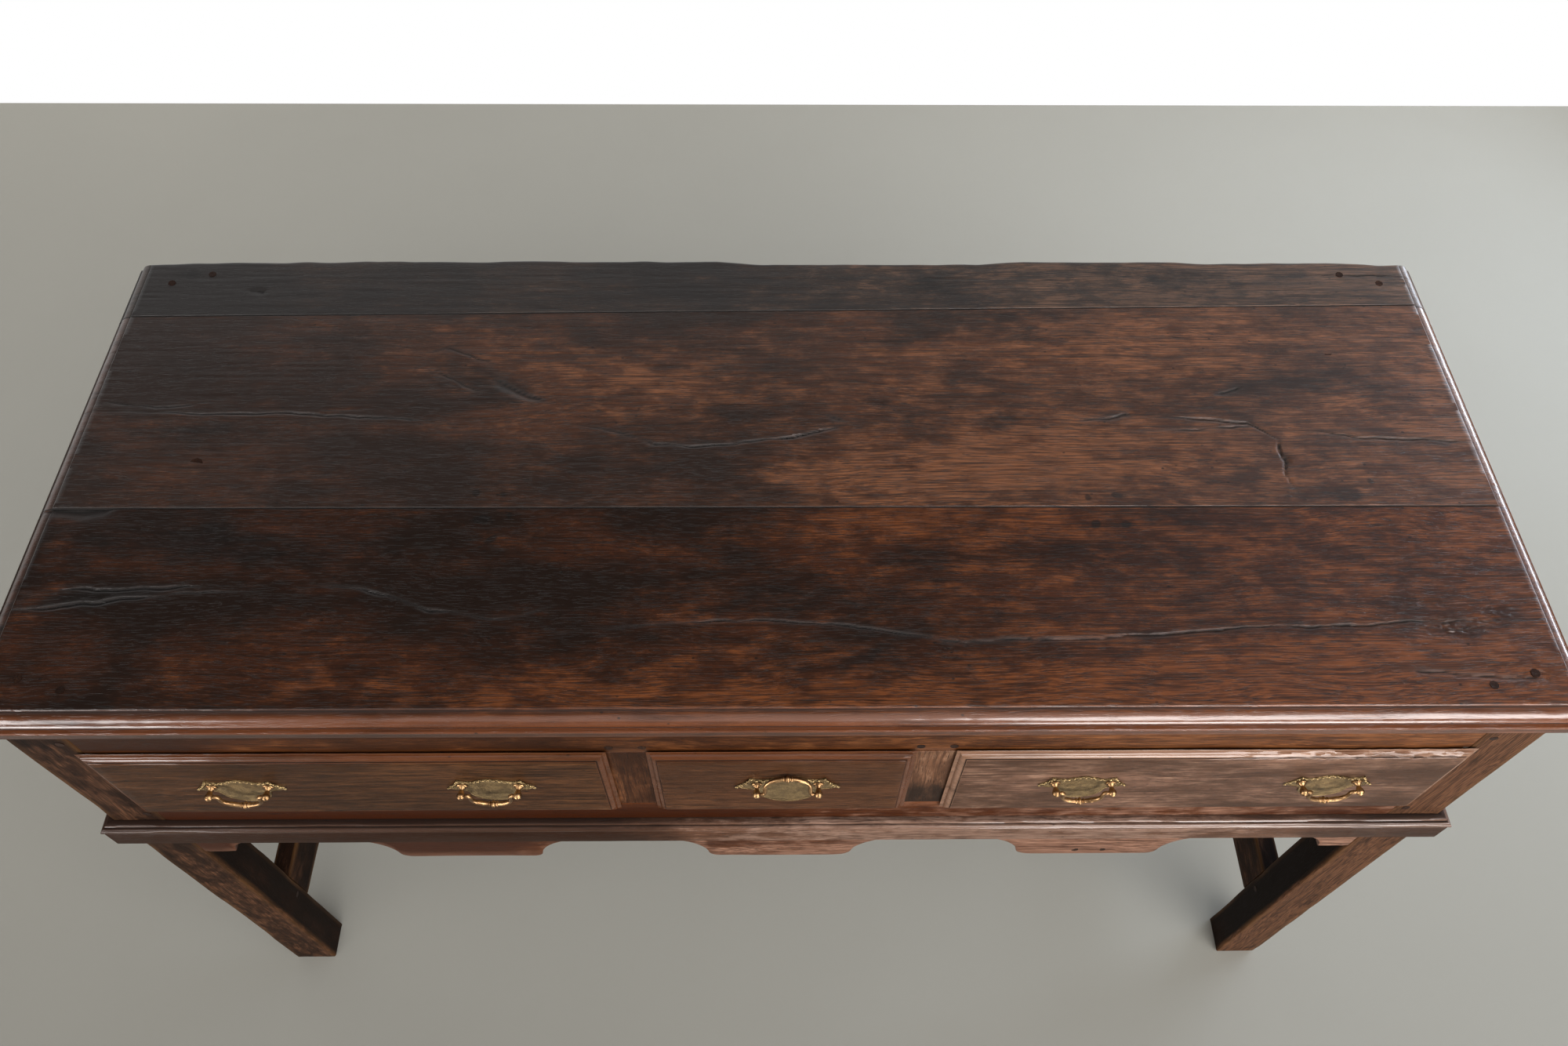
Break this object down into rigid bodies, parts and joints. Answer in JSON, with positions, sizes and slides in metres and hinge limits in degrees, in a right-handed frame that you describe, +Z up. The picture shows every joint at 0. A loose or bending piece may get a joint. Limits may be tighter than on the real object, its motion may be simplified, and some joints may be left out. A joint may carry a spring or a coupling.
{
  "type": "low dresser",
  "caption": "Old oak low dresser base: moulded plank top on square legs, lipped dovetailed drawers over a shaped apron with a waist moulding, brass bail handles on bat-wing plates.",
  "frame": {"origin": "on the floor under the middle of the dresser", "axes": "+X along the length to the right as seen from the front, +Y towards the back, +Z up"},
  "size_m": [1.384, 0.54, 0.84],
  "materials": {
    "oak_top": "dark waxed oak, worn and stained",
    "oak_frame": "dark waxed oak",
    "oak_drawer_front": "dark waxed oak",
    "oak_inside": "dry unpolished oak",
    "oak_peg": "dark end grain",
    "aged_brass": "aged brass, worn bright on the high spots"
  },
  "bodies": {
    "carcass": {"apron_rail": "oak_frame", "back_board_lower": "oak_frame", "back_board_upper": "oak_frame", "drawer_guides": "oak_inside", "end_board_left": "oak_frame", "end_board_right": "oak_frame", "frame_pegs": "oak_peg", "front_top_rail": "oak_frame", "leg_back_left": "oak_frame", "leg_back_right": "oak_frame", "leg_front_left": "oak_frame", "leg_front_right": "oak_frame", "muntin_left": "oak_frame", "muntin_right": "oak_frame", "runner_centre_left": "oak_inside", "runner_centre_right": "oak_inside", "runner_end_left": "oak_inside", "runner_end_right": "oak_inside", "stretcher_back": "oak_frame", "stretcher_left": "oak_frame", "stretcher_right": "oak_frame", "top_board_back": "oak_top", "top_board_front": "oak_top", "top_board_middle": "oak_top", "top_pegs": "oak_peg", "waist_moulding_front": "oak_frame", "waist_moulding_left": "oak_frame", "waist_moulding_right": "oak_frame"},
    "drawer_left": {"left_drawer_back": "oak_inside", "left_drawer_bottom": "oak_inside", "left_drawer_front": "oak_drawer_front", "left_drawer_side_left": "oak_inside", "left_drawer_side_right": "oak_inside", "left_handle_nuts": "aged_brass", "left_handle_plate_1": "aged_brass", "left_handle_plate_2": "aged_brass", "left_handle_posts": "aged_brass"},
    "drawer_middle": {"middle_drawer_back": "oak_inside", "middle_drawer_bottom": "oak_inside", "middle_drawer_front": "oak_drawer_front", "middle_drawer_side_left": "oak_inside", "middle_drawer_side_right": "oak_inside", "middle_handle_nuts": "aged_brass", "middle_handle_plate": "aged_brass", "middle_handle_posts": "aged_brass"},
    "drawer_right": {"right_drawer_back": "oak_inside", "right_drawer_bottom": "oak_inside", "right_drawer_front": "oak_drawer_front", "right_drawer_side_left": "oak_inside", "right_drawer_side_right": "oak_inside", "right_handle_nuts": "aged_brass", "right_handle_plate_1": "aged_brass", "right_handle_plate_2": "aged_brass", "right_handle_posts": "aged_brass"},
    "left_bail_1": {"left_handle_bail_1": "aged_brass"},
    "left_bail_2": {"left_handle_bail_2": "aged_brass"},
    "middle_bail": {"middle_handle_bail": "aged_brass"},
    "right_bail_1": {"right_handle_bail_1": "aged_brass"},
    "right_bail_2": {"right_handle_bail_2": "aged_brass"}
  },
  "joints": [
    {"name": "left_drawer_slide", "type": "slide", "parent": "carcass", "child": "drawer_left", "axis": [0, -1, 0], "range_m": [0, 0.36]},
    {"name": "middle_drawer_slide", "type": "slide", "parent": "carcass", "child": "drawer_middle", "axis": [0, -1, 0], "range_m": [0, 0.36]},
    {"name": "right_drawer_slide", "type": "slide", "parent": "carcass", "child": "drawer_right", "axis": [0, -1, 0], "range_m": [0, 0.36]},
    {"name": "left_bail_1_swing", "type": "hinge", "parent": "drawer_left", "child": "left_bail_1", "pos_m": [-0.50675, -0.266, 0.676], "axis": [-1, 0, 0], "range_deg": [-16, 196]},
    {"name": "left_bail_2_swing", "type": "hinge", "parent": "drawer_left", "child": "left_bail_2", "pos_m": [-0.27275, -0.266, 0.676], "axis": [-1, 0, 0], "range_deg": [-16, 196]},
    {"name": "middle_bail_swing", "type": "hinge", "parent": "drawer_middle", "child": "middle_bail", "pos_m": [0.006, -0.266, 0.676], "axis": [-1, 0, 0], "range_deg": [-212, 0]},
    {"name": "right_bail_1_swing", "type": "hinge", "parent": "drawer_right", "child": "right_bail_1", "pos_m": [0.28475, -0.266, 0.676], "axis": [-1, 0, 0], "range_deg": [-16, 196]},
    {"name": "right_bail_2_swing", "type": "hinge", "parent": "drawer_right", "child": "right_bail_2", "pos_m": [0.51875, -0.266, 0.676], "axis": [-1, 0, 0], "range_deg": [-16, 196]}
  ]
}
